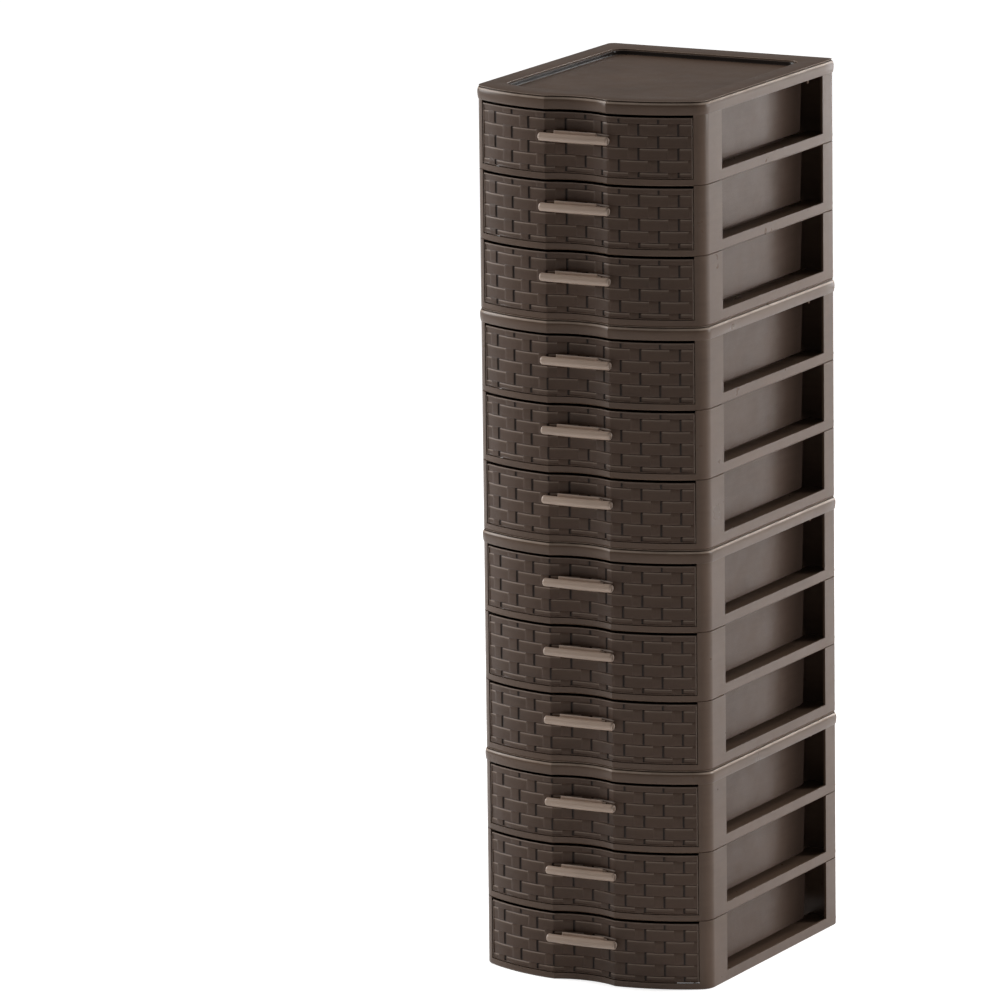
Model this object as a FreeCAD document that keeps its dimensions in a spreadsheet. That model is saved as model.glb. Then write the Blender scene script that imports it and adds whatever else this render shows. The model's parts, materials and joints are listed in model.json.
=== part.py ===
"""Plastic drawer tower: four stacked three-drawer units with bowed, scooped fronts.

Millimetres, +Z up, +X to the right as seen from the front, -Y out of the drawer fronts.
The origin is on the floor, under the middle of the tower's bounding box.
"""
import FreeCAD, Part
import math
import os
import Sketcher

# Driving dimensions, all in millimetres.
SIZES = {
    # One unit: a top panel over three stacked frames, each with its drawer.
    "panel_width": 279.0,
    "body_depth": 355.0,
    "level_pitch": 76.5,
    "panel_height": 15.0,
    # Plan of the front: two outward lobes that meet an inward scoop at two creases.
    "lobe_radius": 213.0,
    "lobe_centre_x": 23.0,
    "crease_x": 37.0,
    "scoop_radius": 84.0,
    "front_corner_radius": 10.0,
    "back_corner_bevel": 4.7,
    # Top panel with its stepped tray.
    "panel_overhang": 1.5,
    "panel_wall": 2.6,
    "panel_edge_chamfer": 1.6,
    "tray_rim_side": 29.0,
    "tray_rim_front": 36.0,
    "tray_rim_back": 37.0,
    "tray_front_radius": 290.0,
    "tray_corner_radius": 12.0,
    "tray_depth": 6.0,
    "tray_floor": 2.2,
    "tray_step_depth": 1.4,
    "tray_step_width": 3.5,
    "tray_rib_spacing": 60.0,
    "tray_rib_thickness": 1.8,
    "tray_rib_height": 2.5,
    # Frame: an open ring of wall with rails, posts and windows.
    "frame_wall": 2.6,
    "front_rail_height": 7.0,
    "side_rail_height": 12.0,
    "front_post_width": 10.5,
    "window_setback": 76.0,
    "back_post_depth": 30.0,
    # Runner that carries the drawer, and whose front end stops the drawer's plate.
    "runner_height": 8.6,
    "runner_width": 32.0,
    "stop_clearance": 0.3,
    # Tongues on the posts that locate the frame above.
    "tongue_length": 12.0,
    "tongue_thickness": 2.0,
    "tongue_root": 8.0,
    "tongue_height": 5.0,
    "tongue_margin": 6.0,
    # Drawer: front plate, drafted bin on two skids, and the lugs that stop its travel.
    "drawer_side_gap": 1.0,
    "drawer_gap_below": 0.6,
    "drawer_gap_above": 3.0,
    "drawer_front_thickness": 2.7,
    "slide_clearance": 0.2,
    "bin_side_inset": 1.0,
    "bin_draft": 2.0,
    "bin_wall": 2.0,
    "bin_floor": 2.2,
    "bin_back_setback": 30.0,
    "bin_corner_radius": 36.0,
    "skid_height": 8.7,
    "skid_width": 3.0,
    "skid_inset": 16.0,
    "lug_setback": 60.0,
    "lug_length": 12.0,
    "lug_root": 4.0,
    "lug_height": 6.0,
    # Handle: a bowed bar over the scoop, on a web with two pegs.
    "handle_overhang": 9.5,
    "handle_length": 83.0,
    "handle_diameter": 9.2,
    "handle_bow": 1.8,
    "handle_height": 47.5,
    "web_width": 53.0,
    "web_thickness": 2.6,
    "web_drop": 1.0,
    "web_gap": 0.1,
    "peg_spacing": 34.0,
    "peg_width": 8.0,
    "peg_reach": 4.5,
    "peg_clearance": 0.15,
    # Overrun of every cutting profile.
    "cut_overrun": 1.0,
}

UNITS = 4
LEVEL_NAMES = ("lower", "middle", "upper")
HANDLE_SPANS = 2
WEB_CHORDS = 4
LOBE_CHORDS = 3
TRAY_CHORDS = 6
CORNER_CHORDS = 3

doc = FreeCAD.newDocument("DrawerTower")
sheet = doc.addObject("Spreadsheet::Sheet", "sizes")
for row, (alias, number) in enumerate(SIZES.items(), start=1):
    sheet.set(f"A{row}", alias)
    sheet.set(f"B{row}", str(number))
    sheet.setAlias(f"B{row}", alias)
doc.recompute()


class Size:
    """A length with the spreadsheet expression that drives it and its present number."""

    def __init__(self, text, number):
        self.text = text
        self.number = number

    def __add__(self, other):
        return Size(f"({self.text} + {other.text})", self.number + other.number)

    def __sub__(self, other):
        return Size(f"({self.text} - {other.text})", self.number - other.number)

    def __mul__(self, factor):
        return Size(f"({self.text} * {factor})", self.number * factor)

    def __truediv__(self, factor):
        return Size(f"({self.text} / {factor})", self.number / factor)

    def __neg__(self):
        return Size(f"(-1 * {self.text})", -self.number)


def size(alias):
    """The driving dimension with this alias."""
    return Size(f"sizes.{alias}", SIZES[alias])


def other_leg(hypotenuse, leg):
    """The second leg of a right triangle."""
    text = f"sqrt({hypotenuse.text} * {hypotenuse.text} - {leg.text} * {leg.text})"
    return Size(text, math.sqrt(hypotenuse.number ** 2 - leg.number ** 2))


ZERO = Size("0", 0.0)
OVERRUN = size("cut_overrun")

# Places that several pieces share.
FRAMES_HEIGHT = size("level_pitch") * len(LEVEL_NAMES)
UNIT_HEIGHT = FRAMES_HEIGHT + size("panel_height")
OVERALL_DEPTH = size("body_depth") + size("handle_overhang")
BACK_Y = OVERALL_DEPTH / 2
FRONT_Y = BACK_Y - size("body_depth")
PANEL_HALF = size("panel_width") / 2
LOBE_Y = FRONT_Y + size("lobe_radius")
CREASE_Y = LOBE_Y - other_leg(size("lobe_radius"), size("crease_x") - size("lobe_centre_x"))
SCOOP_Y = CREASE_Y - other_leg(size("scoop_radius"), size("crease_x"))

FRAME_INSET = size("panel_overhang")
FRAME_HALF = PANEL_HALF - FRAME_INSET
FRAME_BACK = BACK_Y - FRAME_INSET
FRAME_INNER = FRAME_HALF - size("frame_wall")
OPENING_HALF = FRAME_HALF - size("front_post_width")
WINDOW_FRONT = FRONT_Y + size("window_setback")
WINDOW_BACK = FRAME_BACK - size("back_post_depth")
RUNNER_INNER = FRAME_INNER - size("runner_width")

DRAWER_HALF = OPENING_HALF - size("drawer_side_gap")
DRAWER_BOTTOM = size("front_rail_height") + size("drawer_gap_below")
DRAWER_TOP = size("level_pitch") - size("drawer_gap_above")
SKID_BOTTOM = size("runner_height") + size("slide_clearance")
BIN_BOTTOM = SKID_BOTTOM + size("skid_height")
BIN_TOP_HALF = DRAWER_HALF - size("bin_side_inset")
BIN_BOTTOM_HALF = BIN_TOP_HALF - size("bin_draft")
BIN_BACK = FRAME_BACK - size("bin_back_setback")

PLATE_INNER_INSET = FRAME_INSET + size("drawer_front_thickness")

# Centre of the rounding between a lobe and the side.
CORNER_X = PANEL_HALF - size("front_corner_radius")
SIDE_START = LOBE_Y - other_leg(
    size("lobe_radius") - size("front_corner_radius"), CORNER_X - size("lobe_centre_x"))

HANDLE_RADIUS = size("handle_diameter") / 2
HANDLE_AXIS_Y = FRONT_Y - size("handle_overhang") + HANDLE_RADIUS
WEB_TOP = size("handle_height") + HANDLE_RADIUS - size("web_drop")
WEB_BOTTOM = WEB_TOP - size("web_thickness")


def origin_plane(body, role):
    return next(plane for plane in body.Origin.OriginFeatures if plane.Role == role)


def new_sketch(body, name, role, offset=ZERO):
    """A sketch on one of the body's origin planes, moved along the plane's normal."""
    sketch = body.newObject("Sketcher::SketchObject", name)
    sketch.AttachmentSupport = [(origin_plane(body, role), "")]
    sketch.MapMode = "FlatFace"
    if offset is not ZERO:
        sketch.AttachmentOffset.Base.z = offset.number
        sketch.setExpression("AttachmentOffset.Base.z", offset.text)
    return sketch


def drive(sketch, constraint, expression):
    """Adds a dimension and binds it to the sheet."""
    index = sketch.addConstraint(constraint)
    sketch.setExpression(f"Constraints[{index}]", expression.text)


def place_point(sketch, geometry, position, x, y):
    """Fixes a point of the sketch at two driven coordinates."""
    if x is ZERO:
        sketch.addConstraint(Sketcher.Constraint("PointOnObject", geometry, position, -2))
    else:
        drive(sketch, Sketcher.Constraint("DistanceX", geometry, position, x.number), x)
    if y is ZERO:
        sketch.addConstraint(Sketcher.Constraint("PointOnObject", geometry, position, -1))
    else:
        drive(sketch, Sketcher.Constraint("DistanceY", geometry, position, y.number), y)


def add_line(sketch, start, end):
    return sketch.addGeometry(Part.LineSegment(FreeCAD.Vector(*start), FreeCAD.Vector(*end)))


def add_arc(sketch, centre, radius, start_angle, end_angle):
    circle = Part.Circle(FreeCAD.Vector(*centre), FreeCAD.Vector(0, 0, 1), radius)
    return sketch.addGeometry(Part.ArcOfCircle(circle, start_angle, end_angle))


def polygon(sketch, corners):
    """A closed polygon whose corners are pairs of driven coordinates."""
    numbers = [(x.number, y.number) for x, y in corners]
    lines = [add_line(sketch, numbers[i - 1], numbers[i]) for i in range(len(numbers))]
    for i, line in enumerate(lines):
        sketch.addConstraint(Sketcher.Constraint("Coincident", lines[i - 1], 2, line, 1))
    for line, (x, y) in zip(lines, corners):
        place_point(sketch, line, 2, x, y)


def rectangle(sketch, left, right, low, high):
    polygon(sketch, [(left, low), (right, low), (right, high), (left, high)])


def serpentine(sketch, inset, half_width):
    """Right lobe, scoop and left lobe, offset inwards; the lobes end near half_width."""
    lobe_radius = size("lobe_radius") - inset
    scoop_radius = size("scoop_radius") + inset
    lobe_x = size("lobe_centre_x")
    # The offset lobe and scoop cross where two circles cross.
    gap_x = lobe_x.number
    gap_y = LOBE_Y.number - SCOOP_Y.number
    gap = math.hypot(gap_x, gap_y)
    along = (gap ** 2 + scoop_radius.number ** 2 - lobe_radius.number ** 2) / (2 * gap)
    aside = math.sqrt(scoop_radius.number ** 2 - along ** 2)
    crease_x = (along * gap_x + aside * gap_y) / gap
    crease_y = SCOOP_Y.number + (along * gap_y - aside * gap_x) / gap
    crease_angle = math.atan2(crease_y - LOBE_Y.number, crease_x - gap_x)
    end_angle = -math.acos((half_width.number - gap_x) / lobe_radius.number)
    scoop_angle = math.atan2(crease_y - SCOOP_Y.number, crease_x)
    right = add_arc(sketch, (gap_x, LOBE_Y.number), lobe_radius.number, crease_angle, end_angle)
    scoop = add_arc(sketch, (0, SCOOP_Y.number), scoop_radius.number,
                    scoop_angle, math.pi - scoop_angle)
    left = add_arc(sketch, (-gap_x, LOBE_Y.number), lobe_radius.number,
                   -math.pi - end_angle, -math.pi - crease_angle)
    sketch.addConstraint(Sketcher.Constraint("Coincident", right, 1, scoop, 1))
    sketch.addConstraint(Sketcher.Constraint("Coincident", left, 2, scoop, 2))
    place_point(sketch, right, 3, lobe_x, LOBE_Y)
    place_point(sketch, left, 3, -lobe_x, LOBE_Y)
    place_point(sketch, scoop, 3, ZERO, SCOOP_Y)
    drive(sketch, Sketcher.Constraint("Radius", right, lobe_radius.number), lobe_radius)
    drive(sketch, Sketcher.Constraint("Radius", left, lobe_radius.number), lobe_radius)
    drive(sketch, Sketcher.Constraint("Radius", scoop, scoop_radius.number), scoop_radius)
    return right, left


def back_of_outline(sketch, half_width, side_start_y, back, radius):
    """Both sides and the rounded back; returns the two side lines."""
    half, back_y, corner = half_width.number, back.number, radius.number
    right = add_line(sketch, (half, side_start_y), (half, back_y - corner))
    right_arc = add_arc(sketch, (half - corner, back_y - corner), corner, 0, math.pi / 2)
    back_line = add_line(sketch, (half - corner, back_y), (corner - half, back_y))
    left_arc = add_arc(sketch, (corner - half, back_y - corner), corner, math.pi / 2, math.pi)
    left = add_line(sketch, (-half, back_y - corner), (-half, side_start_y))
    chain = [right, right_arc, back_line, left_arc, left]
    for first, second in zip(chain, chain[1:]):
        sketch.addConstraint(Sketcher.Constraint("Tangent", first, 2, second, 1))
    sketch.addConstraint(Sketcher.Constraint("Vertical", right))
    sketch.addConstraint(Sketcher.Constraint("Vertical", left))
    sketch.addConstraint(Sketcher.Constraint("Horizontal", back_line))
    drive(sketch, Sketcher.Constraint("DistanceX", right, 2, half), half_width)
    drive(sketch, Sketcher.Constraint("DistanceX", left, 1, -half), -half_width)
    drive(sketch, Sketcher.Constraint("DistanceY", back_line, 1, back_y), back)
    drive(sketch, Sketcher.Constraint("Radius", right_arc, corner), radius)
    drive(sketch, Sketcher.Constraint("Radius", left_arc, corner), radius)
    return right, left


def lobe_y(x, inset):
    """Where the lobe's curve, offset inwards, stands at this x."""
    return LOBE_Y - other_leg(size("lobe_radius") - inset, x - size("lobe_centre_x"))


def scoop_y(x, inset):
    """Where the scoop's curve, offset inwards, stands at this x."""
    return SCOOP_Y + other_leg(size("scoop_radius") + inset, x)


def inner_front(inset, end_x):
    """Places along the hidden side of the front, from its left end to its right end."""
    crease = size("crease_x")
    right = [(x, scoop_y(x, inset)) for x in (crease / 2, crease)]
    for step in range(LOBE_CHORDS):
        x = crease + (end_x - crease) * (step + 1) / LOBE_CHORDS
        right.append((x, lobe_y(x, inset)))
    left = [(-x, y) for x, y in reversed(right)]
    return [*left, (ZERO, scoop_y(ZERO, inset)), *right]


def inner_outline(sketch, inset):
    """The plan of a hollow: the body's outline offset inwards, in straight chords."""
    half = PANEL_HALF - inset
    back = BACK_Y - inset
    bevel = size("back_corner_bevel") - inset * (2 - math.sqrt(2))
    polygon(sketch, [
        *inner_front(inset, CORNER_X),
        (half, SIDE_START),
        (half, back - bevel),
        (half - bevel, back),
        (bevel - half, back),
        (-half, back - bevel),
        (-half, SIDE_START),
    ])


def rounded_outline(sketch, inset):
    """The body's plan, offset inwards: curved front, rounded front corners, bevelled back."""
    half_width = PANEL_HALF - inset
    back = BACK_Y - inset
    bevel = size("back_corner_bevel") - inset * (2 - math.sqrt(2))
    radius = size("front_corner_radius") - inset
    lobe_radius = size("lobe_radius").number - inset.number
    centre_x = half_width.number - radius.number
    lobe_x = size("lobe_centre_x").number
    rise = math.sqrt((lobe_radius - radius.number) ** 2 - (centre_x - lobe_x) ** 2)
    centre_y = LOBE_Y.number - rise
    touch = math.atan2(-rise, centre_x - lobe_x)
    touch_x = lobe_x + lobe_radius * math.cos(touch)
    right_lobe, left_lobe = serpentine(sketch, inset, Size("touch", touch_x))
    corners = [
        (half_width, back - bevel),
        (half_width - bevel, back),
        (bevel - half_width, back),
        (-half_width, back - bevel),
    ]
    ends = [(half_width.number, centre_y), *[(x.number, y.number) for x, y in corners],
            (-half_width.number, centre_y)]
    lines = [add_line(sketch, start, end) for start, end in zip(ends, ends[1:])]
    for first, second in zip(lines, lines[1:]):
        sketch.addConstraint(Sketcher.Constraint("Coincident", first, 2, second, 1))
    for line, (x, y) in zip(lines, corners):
        place_point(sketch, line, 2, x, y)
    right, left = lines[0], lines[-1]
    sketch.addConstraint(Sketcher.Constraint("Vertical", right))
    sketch.addConstraint(Sketcher.Constraint("Vertical", left))
    right_arc = add_arc(sketch, (centre_x, centre_y), radius.number, touch, 0)
    left_arc = add_arc(sketch, (-centre_x, centre_y), radius.number, math.pi, math.pi - touch)
    sketch.addConstraint(Sketcher.Constraint("Tangent", right_lobe, 2, right_arc, 1))
    sketch.addConstraint(Sketcher.Constraint("Tangent", right_arc, 2, right, 1))
    sketch.addConstraint(Sketcher.Constraint("Tangent", left, 2, left_arc, 1))
    sketch.addConstraint(Sketcher.Constraint("Tangent", left_arc, 2, left_lobe, 1))
    drive(sketch, Sketcher.Constraint("Radius", right_arc, radius.number), radius)
    drive(sketch, Sketcher.Constraint("Radius", left_arc, radius.number), radius)


def chord_chain(sketch, places):
    """Joined lines through the places; the two end points are left free."""
    numbers = [(x.number, y.number) for x, y in places]
    lines = [add_line(sketch, start, end) for start, end in zip(numbers, numbers[1:])]
    for first, second in zip(lines, lines[1:]):
        sketch.addConstraint(Sketcher.Constraint("Coincident", first, 2, second, 1))
    for line, (x, y) in zip(lines, places[1:-1]):
        place_point(sketch, line, 2, x, y)
    return lines[0], lines[-1]


def bin_outline(sketch, front_inset, half_width, back, radius):
    """A bin's plan: chords behind the front plate, straight sides, rounded rear corners."""
    corner = []
    for step in range(CORNER_CHORDS + 1):
        turn = math.pi / 2 * step / CORNER_CHORDS
        corner.append((half_width - radius * (1 - math.cos(turn)),
                       back - radius * (1 - math.sin(turn))))
    mirrored = [(-x, y) for x, y in reversed(corner)]
    polygon(sketch, [*inner_front(front_inset, half_width), *corner, *mirrored])


def front_band(sketch, outer_inset, inner_inset, half_width):
    """The front plate's plan: curved in front, chords behind, cut square at half_width."""
    outer_right, outer_left = serpentine(sketch, outer_inset, half_width)
    places = inner_front(inner_inset, half_width)
    left_chord, right_chord = chord_chain(sketch, places)
    outer_y = lobe_y(half_width, outer_inset).number
    inner_y = places[0][1]
    pairs = (
        (outer_right, 2, right_chord, 2, half_width),
        (outer_left, 1, left_chord, 1, -half_width),
    )
    for outer, outer_end, chord, chord_end, x in pairs:
        line = add_line(sketch, (x.number, outer_y), (x.number, inner_y.number))
        sketch.addConstraint(Sketcher.Constraint("Coincident", outer, outer_end, line, 1))
        sketch.addConstraint(Sketcher.Constraint("Coincident", chord, chord_end, line, 2))
        sketch.addConstraint(Sketcher.Constraint("Vertical", line))
        place_point(sketch, line, 2, x, inner_y)


def tray_outline(sketch, grow):
    """The tray's plan: straight sides, a single bowed front and rounded corners."""
    half = PANEL_HALF - size("tray_rim_side") + grow
    back = BACK_Y - size("tray_rim_back") + grow
    front = FRONT_Y + size("tray_rim_front") - grow
    bow = size("tray_front_radius") + grow
    corner = size("tray_corner_radius") + grow
    bow_y = front + bow
    centre_x = half.number - corner.number
    rise = math.sqrt((bow.number - corner.number) ** 2 - centre_x ** 2)
    centre_y = bow_y.number - rise
    touch = math.atan2(-rise, centre_x)
    front_arc = add_arc(sketch, (0, bow_y.number), bow.number, math.pi - touch, touch)
    right_arc = add_arc(sketch, (centre_x, centre_y), corner.number, touch, 0)
    left_arc = add_arc(sketch, (-centre_x, centre_y), corner.number, math.pi, math.pi - touch)
    right, left = back_of_outline(sketch, half, centre_y, back, corner)
    sketch.addConstraint(Sketcher.Constraint("Tangent", front_arc, 2, right_arc, 1))
    sketch.addConstraint(Sketcher.Constraint("Tangent", right_arc, 2, right, 1))
    sketch.addConstraint(Sketcher.Constraint("Tangent", left, 2, left_arc, 1))
    sketch.addConstraint(Sketcher.Constraint("Tangent", left_arc, 2, front_arc, 1))
    place_point(sketch, front_arc, 3, ZERO, bow_y)
    drive(sketch, Sketcher.Constraint("Radius", front_arc, bow.number), bow)
    drive(sketch, Sketcher.Constraint("Radius", right_arc, corner.number), corner)
    drive(sketch, Sketcher.Constraint("Radius", left_arc, corner.number), corner)


def tray_chords(sketch, grow):
    """The plan around the tray's underside: chords in front, bevels that touch the roundings."""
    half = PANEL_HALF - size("tray_rim_side") + grow
    back = BACK_Y - size("tray_rim_back") + grow
    bow = size("tray_front_radius") + grow
    bow_y = FRONT_Y + size("tray_rim_front") - grow + bow
    bevel = (size("tray_corner_radius") + grow) * (2 - math.sqrt(2))
    front_x = half - bevel
    front = []
    for step in range(TRAY_CHORDS + 1):
        x = front_x * (2 * step / TRAY_CHORDS - 1)
        front.append((x, bow_y - other_leg(bow, x)))
    turn_y = front[0][1] + bevel
    polygon(sketch, [*front, (half, turn_y), (half, back - bevel), (front_x, back),
                     (-front_x, back), (-half, back - bevel), (-half, turn_y)])


def feature(body, kind, name, sketch, length, reverse=False, symmetric=False):
    """A pad or pocket of a driven length."""
    made = body.newObject(f"PartDesign::{kind}", name)
    made.Profile = sketch
    made.setExpression("Length", length.text)
    made.Reversed = reverse
    if symmetric:
        made.SideType = "Symmetric"
    sketch.Visibility = False
    return made


def chamfer_edges(body, name, base, width, chosen):
    """Bevels the edges of the base feature that the test picks."""
    doc.recompute()
    edges = [f"Edge{i}" for i, edge in enumerate(base.Shape.Edges, start=1) if chosen(edge)]
    made = body.newObject("PartDesign::Chamfer", name)
    made.Base = (base, edges)
    made.setExpression("Size", width.text)
    return made


def make_panel(name):
    """Top panel: a bullnosed, hollow moulding with a stepped tray."""
    body = doc.addObject("PartDesign::Body", name)
    top = UNIT_HEIGHT
    slab_sketch = new_sketch(body, f"{name}_plan", "XY_Plane", FRAMES_HEIGHT)
    rounded_outline(slab_sketch, ZERO)
    slab = feature(body, "Pad", f"{name}_slab", slab_sketch, size("panel_height"))
    chamfer_edges(body, f"{name}_top_edge", slab, size("panel_edge_chamfer"),
                  lambda edge: edge.BoundBox.ZMin > (top - OVERRUN).number)

    step_sketch = new_sketch(body, f"{name}_step_plan", "XY_Plane", top)
    tray_outline(step_sketch, size("tray_step_width"))
    feature(body, "Pocket", f"{name}_step", step_sketch, size("tray_step_depth"))
    tray_sketch = new_sketch(body, f"{name}_tray_plan", "XY_Plane", top)
    tray_outline(tray_sketch, ZERO)
    feature(body, "Pocket", f"{name}_tray", tray_sketch, size("tray_depth"))

    under_tray = top - size("tray_depth") - size("tray_floor")
    hollow_sketch = new_sketch(body, f"{name}_hollow_plan", "XY_Plane", FRAMES_HEIGHT)
    inner_outline(hollow_sketch, size("panel_wall"))
    feature(body, "Pocket", f"{name}_hollow", hollow_sketch, under_tray - FRAMES_HEIGHT,
            reverse=True)
    channel_sketch = new_sketch(body, f"{name}_channel_plan", "XY_Plane", FRAMES_HEIGHT)
    inner_outline(channel_sketch, size("panel_wall"))
    tray_chords(channel_sketch, size("tray_step_width") + size("tray_floor"))
    feature(body, "Pocket", f"{name}_channel", channel_sketch,
            size("panel_height") - size("tray_floor"), reverse=True)

    rib_sketch = new_sketch(body, f"{name}_rib_plan", "XY_Plane", under_tray)
    rib_half = size("tray_rib_thickness") / 2
    rib_end = BACK_Y - size("tray_rim_back")
    for shift in (-size("tray_rib_spacing"), ZERO, size("tray_rib_spacing")):
        rectangle(rib_sketch, shift - rib_half, shift + rib_half, -rib_end, rib_end)
    feature(body, "Pad", f"{name}_ribs", rib_sketch, size("tray_rib_height"), reverse=True)
    return body


def make_frame(name):
    """One level of the casing: posts, rails, closed back, runners and tongues."""
    body = doc.addObject("PartDesign::Body", name)
    pitch = size("level_pitch")
    shell_sketch = new_sketch(body, f"{name}_plan", "XY_Plane")
    rounded_outline(shell_sketch, FRAME_INSET)
    inner_outline(shell_sketch, FRAME_INSET + size("frame_wall"))
    feature(body, "Pad", f"{name}_shell", shell_sketch, pitch)

    opening_sketch = new_sketch(body, f"{name}_opening_view", "XZ_Plane")
    rectangle(opening_sketch, -OPENING_HALF, OPENING_HALF,
              size("front_rail_height"), pitch + OVERRUN)
    feature(body, "Pocket", f"{name}_opening", opening_sketch, size("body_depth"), reverse=True)
    window_sketch = new_sketch(body, f"{name}_window_view", "YZ_Plane")
    rectangle(window_sketch, WINDOW_FRONT, WINDOW_BACK, size("side_rail_height"), pitch + OVERRUN)
    feature(body, "Pocket", f"{name}_windows", window_sketch, size("panel_width"),
            symmetric=True)

    make_runners(body, name)
    make_tongues(body, name)
    return body


def make_runners(body, name):
    """A shelf along each side wall, below the window; its front end stops the drawer."""
    back = FRAME_BACK - size("frame_wall")
    front = lobe_y(DRAWER_HALF, PLATE_INNER_INSET) + size("stop_clearance")
    outer = FRAME_INNER + size("frame_wall") / 2
    right = [(RUNNER_INNER, back), (RUNNER_INNER, front), (CORNER_X, front),
             (outer, SIDE_START), (outer, back)]
    runner_sketch = new_sketch(
        body, f"{name}_runner_plan", "XY_Plane", size("runner_height") - size("frame_wall"))
    polygon(runner_sketch, right)
    polygon(runner_sketch, [(-x, y) for x, y in reversed(right)])
    feature(body, "Pad", f"{name}_runners", runner_sketch, size("frame_wall"))


def make_tongues(body, name):
    """Tongues that stand up from the posts, against the next frame's inner faces."""
    pitch = size("level_pitch")
    inner = FRAME_INNER - size("tongue_thickness")
    length = size("tongue_length")
    margin = size("tongue_margin")
    centres = (WINDOW_FRONT - margin - length / 2, WINDOW_BACK + margin + length / 2)
    tongue_sketch = new_sketch(
        body, f"{name}_tongue_plan", "XY_Plane", pitch - size("tongue_root"))
    for centre in centres:
        low = centre - length / 2
        high = centre + length / 2
        rectangle(tongue_sketch, inner, FRAME_INNER, low, high)
        rectangle(tongue_sketch, -FRAME_INNER, -inner, low, high)
    feature(body, "Pad", f"{name}_tongues", tongue_sketch,
            size("tongue_root") + size("tongue_height"))


def make_drawer(name):
    """Drawer: a drafted bin behind a plate with two lobes and a scoop."""
    body = doc.addObject("PartDesign::Body", name)
    plate_middle = FRAME_INSET + size("drawer_front_thickness") / 2
    inner_inset = PLATE_INNER_INSET
    front_height = DRAWER_TOP - DRAWER_BOTTOM

    bottom_sketch = new_sketch(body, f"{name}_bottom_plan", "XY_Plane", BIN_BOTTOM)
    bin_outline(bottom_sketch, plate_middle, BIN_BOTTOM_HALF, BIN_BACK,
                size("bin_corner_radius"))
    top_sketch = new_sketch(body, f"{name}_top_plan", "XY_Plane", DRAWER_TOP)
    bin_outline(top_sketch, plate_middle, BIN_TOP_HALF, BIN_BACK, size("bin_corner_radius"))
    bin_solid = body.newObject("PartDesign::AdditiveLoft", f"{name}_bin")
    bin_solid.Profile = bottom_sketch
    bin_solid.Sections = [top_sketch]
    bin_solid.Ruled = True

    plate_sketch = new_sketch(body, f"{name}_plate_plan", "XY_Plane", DRAWER_BOTTOM)
    front_band(plate_sketch, FRAME_INSET, inner_inset, DRAWER_HALF)
    feature(body, "Pad", f"{name}_plate", plate_sketch, front_height)

    wall = size("bin_wall")
    low_sketch = new_sketch(
        body, f"{name}_cavity_bottom", "XY_Plane", BIN_BOTTOM + size("bin_floor"))
    bin_outline(low_sketch, inner_inset, BIN_BOTTOM_HALF - wall, BIN_BACK - wall,
                size("bin_corner_radius") - wall)
    high_sketch = new_sketch(body, f"{name}_cavity_top", "XY_Plane", DRAWER_TOP)
    bin_outline(high_sketch, inner_inset, BIN_TOP_HALF - wall, BIN_BACK - wall,
                size("bin_corner_radius") - wall)
    cavity = body.newObject("PartDesign::SubtractiveLoft", f"{name}_cavity")
    cavity.Profile = low_sketch
    cavity.Sections = [high_sketch]
    cavity.Ruled = True

    skid_sketch = new_sketch(body, f"{name}_skid_plan", "XY_Plane", SKID_BOTTOM)
    skid_outer = BIN_BOTTOM_HALF - size("skid_inset")
    skid_inner = skid_outer - size("skid_width")
    skid_front = lobe_y(skid_inner, inner_inset) + size("stop_clearance")
    skid_back = BIN_BACK - size("bin_corner_radius")
    rectangle(skid_sketch, skid_inner, skid_outer, skid_front, skid_back)
    rectangle(skid_sketch, -skid_outer, -skid_inner, skid_front, skid_back)
    feature(body, "Pad", f"{name}_skids", skid_sketch, size("skid_height") + size("bin_floor") / 2)

    lug_sketch = new_sketch(body, f"{name}_lug_plan", "XY_Plane", DRAWER_TOP - size("lug_root"))
    lug_back = BIN_BACK - size("lug_setback")
    lug_front = lug_back - size("lug_length")
    rectangle(lug_sketch, BIN_TOP_HALF - wall, BIN_TOP_HALF, lug_front, lug_back)
    rectangle(lug_sketch, -BIN_TOP_HALF, wall - BIN_TOP_HALF, lug_front, lug_back)
    feature(body, "Pad", f"{name}_lugs", lug_sketch, size("lug_root") + size("lug_height"))

    slot_sketch = new_sketch(body, f"{name}_slot_view", "XZ_Plane")
    clearance = size("peg_clearance")
    half_peg = size("peg_width") / 2 + clearance
    peg_x = size("peg_spacing") / 2
    low = WEB_BOTTOM - clearance
    high = WEB_TOP + clearance
    rectangle(slot_sketch, peg_x - half_peg, peg_x + half_peg, low, high)
    rectangle(slot_sketch, -peg_x - half_peg, half_peg - peg_x, low, high)
    feature(body, "Pocket", f"{name}_slots", slot_sketch, size("body_depth"), reverse=True)
    return body


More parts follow.
